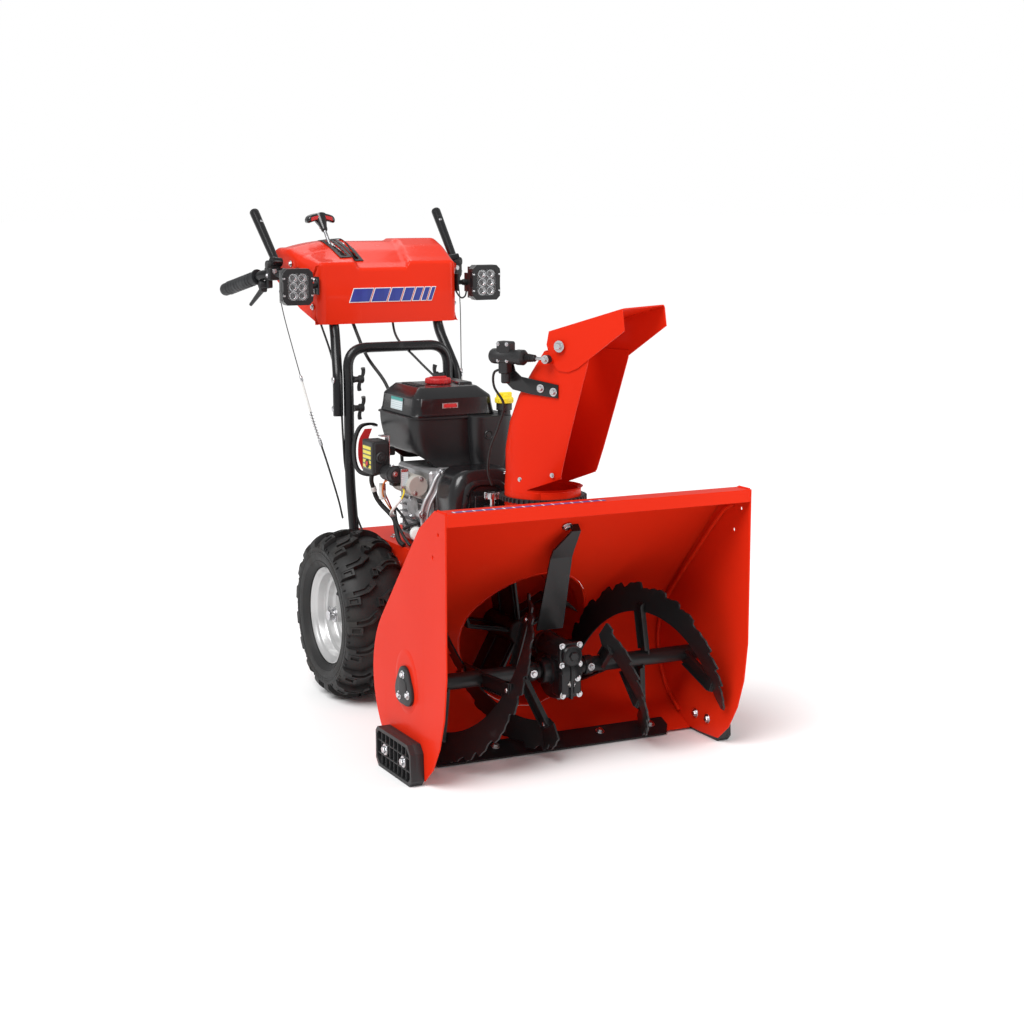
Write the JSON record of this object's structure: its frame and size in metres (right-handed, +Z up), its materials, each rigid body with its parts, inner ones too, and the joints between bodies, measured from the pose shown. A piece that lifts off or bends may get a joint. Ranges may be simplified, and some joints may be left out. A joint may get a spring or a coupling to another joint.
{
  "type": "snow blower",
  "caption": "Walk-behind two-stage snow blower: auger housing, impeller, turning chute, engine, two wheels, hoop handle and dash.",
  "frame": {"origin": "middle of the machine's box, on the ground", "axes": "+Z up, the auger housing opens towards -Y, the operator stands at +Y, +X is the operator's left"},
  "size_m": [0.7756, 1.4944, 1.1652],
  "materials": {
    "paint_red": "glossy orange-red paint",
    "plastic_red": "orange-red moulded plastic",
    "cap_red": "red moulded plastic",
    "paint_black": "satin black paint",
    "plastic_black": "black moulded plastic, fine grain",
    "rubber": "matt black rubber",
    "tyre": "black tyre with a block tread",
    "rim_silver": "silver painted steel",
    "steel": "zinc plated steel",
    "cast": "sand cast aluminium",
    "cap_yellow": "yellow moulded plastic"
  },
  "bodies": {
    "machine": {"housing_sheet": "paint_red", "side_plate_r": "paint_red", "side_plate_l": "paint_red", "impeller_housing": "paint_red", "tractor_frame": "paint_red", "dash_panel": "plastic_red", "scraper_bar": "paint_black", "auger_gearbox": "paint_black", "gearbox_support": "paint_black", "handle_hoop": "paint_black", "upper_handle_r": "paint_black", "upper_handle_l": "paint_black", "skid_shoe_r": "plastic_black", "skid_shoe_l": "plastic_black", "bearing_cover_r": "plastic_black", "bearing_cover_l": "plastic_black", "chute_motor": "plastic_black", "tank_shroud": "plastic_black", "engine_cover": "plastic_black", "belt_cover": "plastic_black", "switch_box": "plastic_black", "recoil_housing": "plastic_black", "drive_belt": "rubber", "grip_r": "rubber", "grip_l": "rubber", "clutch_cable_r": "rubber", "clutch_cable_l": "rubber", "starter_motor": "steel", "muffler": "steel", "gear_case": "cast", "engine_block": "cast"},
    "augers": {"auger_shaft": "steel", "auger_r": "paint_black", "auger_l": "paint_black"},
    "impeller": {"impeller_fan": "paint_black", "impeller_shaft": "steel"},
    "crank": {"crank_pulley": "cast"},
    "wheel_r": {"rim_r": "rim_silver", "tyre_r": "tyre", "half_axle_r": "steel"},
    "wheel_l": {"rim_l": "rim_silver", "tyre_l": "tyre", "half_axle_l": "steel"},
    "chute_turret": {"chute": "paint_red", "chute_gear": "plastic_black", "actuator_bracket": "paint_black"},
    "pinion": {"chute_pinion": "steel"},
    "hood": {"deflector": "paint_red"},
    "actuator_slider": {"actuator_rod": "steel"},
    "clutch_r": {"clutch_lever_r": "paint_black"},
    "clutch_l": {"clutch_lever_l": "paint_black"},
    "trigger_r": {"steering_trigger_r": "plastic_black"},
    "trigger_l": {"steering_trigger_l": "plastic_black"},
    "shifter": {"shift_lever": "steel"},
    "headlamp_r": {"lamp_r": "plastic_black"},
    "headlamp_l": {"lamp_l": "plastic_black"},
    "filler_cap": {"fuel_cap": "cap_red"},
    "dipstick": {"dipstick_cap": "cap_yellow"},
    "button": {"starter_button": "cap_red"},
    "pull_handle": {"recoil_handle": "plastic_black"}
  },
  "joints": [
    {"name": "auger_spin", "type": "hinge", "parent": "machine", "child": "augers", "pos_m": [0, -0.54725, 0.19], "axis": [1, 0, 0], "continuous": true},
    {"name": "impeller_spin", "type": "hinge", "parent": "machine", "child": "impeller", "pos_m": [0, -0.29725, 0.232], "axis": [0, 1, 0], "continuous": true},
    {"name": "crank_spin", "type": "hinge", "parent": "machine", "child": "crank", "pos_m": [0, -0.14725, 0.49], "axis": [0, 1, 0], "continuous": true},
    {"name": "wheel_spin_r", "type": "hinge", "parent": "machine", "child": "wheel_r", "pos_m": [-0.22, 0.10675, 0.203], "axis": [1, 0, 0], "continuous": true},
    {"name": "wheel_spin_l", "type": "hinge", "parent": "machine", "child": "wheel_l", "pos_m": [0.22, 0.10675, 0.203], "axis": [1, 0, 0], "continuous": true},
    {"name": "chute_rotation", "type": "hinge", "parent": "machine", "child": "chute_turret", "pos_m": [0.085, -0.30725, 0.5275], "axis": [0, 0, 1], "range_deg": [-130, 75]},
    {"name": "pinion_spin", "type": "hinge", "parent": "machine", "child": "pinion", "pos_m": [-0.01454, -0.24978, 0.5275], "axis": [0, 0, 1], "range_deg": [-455, 785]},
    {"name": "deflector_tilt", "type": "hinge", "parent": "chute_turret", "child": "hood", "pos_m": [0.13476, -0.40084, 0.878], "axis": [0.8829, 0.4695, 0], "range_deg": [-5, 45]},
    {"name": "actuator_travel", "type": "slide", "parent": "chute_turret", "child": "actuator_slider", "axis": [-0.4695, 0.8829, 0], "range_m": [-0.0025, 0.016]},
    {"name": "clutch_r_squeeze", "type": "hinge", "parent": "machine", "child": "clutch_r", "pos_m": [-0.2475, 0.52675, 1.031], "axis": [-0.9668, -0.2061, 0.1508], "range_deg": [0, 46], "stiffness_Nm_per_rad": 0.6, "springref_deg": -68.75},
    {"name": "clutch_l_squeeze", "type": "hinge", "parent": "machine", "child": "clutch_l", "pos_m": [0.2475, 0.52675, 1.031], "axis": [-0.9668, 0.2061, -0.1508], "range_deg": [0, 46], "stiffness_Nm_per_rad": 0.6, "springref_deg": -68.75},
    {"name": "steering_r_squeeze", "type": "hinge", "parent": "machine", "child": "trigger_r", "pos_m": [-0.268, 0.57075, 0.962], "axis": [1, 0, 0], "range_deg": [0, 18], "stiffness_Nm_per_rad": 0.15, "springref_deg": -34.38},
    {"name": "steering_l_squeeze", "type": "hinge", "parent": "machine", "child": "trigger_l", "pos_m": [0.268, 0.57075, 0.962], "axis": [1, 0, 0], "range_deg": [0, 18], "stiffness_Nm_per_rad": 0.15, "springref_deg": -34.38},
    {"name": "gear_shift", "type": "hinge", "parent": "machine", "child": "shifter", "pos_m": [-0.1, 0.45775, 1], "axis": [1, 0, 0], "range_deg": [-4, 35]},
    {"name": "lamp_r_tilt", "type": "hinge", "parent": "machine", "child": "headlamp_r", "pos_m": [-0.256, 0.38675, 0.976], "axis": [1, 0, 0], "range_deg": [-20, 20]},
    {"name": "lamp_l_tilt", "type": "hinge", "parent": "machine", "child": "headlamp_l", "pos_m": [0.256, 0.38675, 0.976], "axis": [1, 0, 0], "range_deg": [-20, 20]},
    {"name": "fuel_cap_turn", "type": "hinge", "parent": "machine", "child": "filler_cap", "pos_m": [-0.01, 0.05775, 0.755], "axis": [0, 0, 1], "range_deg": [0, 270]},
    {"name": "dipstick_pull", "type": "slide", "parent": "machine", "child": "dipstick", "axis": [0, 0, 1], "range_m": [0, 0.12]},
    {"name": "start_button_press", "type": "slide", "parent": "machine", "child": "button", "axis": [1, 0, 0], "range_m": [0, 0.0035], "stiffness_N_per_m": 400, "springref_m": -0.002},
    {"name": "recoil_pull", "type": "slide", "parent": "machine", "child": "pull_handle", "axis": [0, 1, 0], "range_m": [0, 0.3], "stiffness_N_per_m": 20, "springref_m": -0.25}
  ],
  "couplings": [
    {"joint": "impeller_spin", "follows": "auger_spin", "ratio": 10},
    {"joint": "pinion_spin", "follows": "chute_rotation", "ratio": -6},
    {"joint": "actuator_travel", "follows": "deflector_tilt", "m_per_rad": 0.0195}
  ]
}
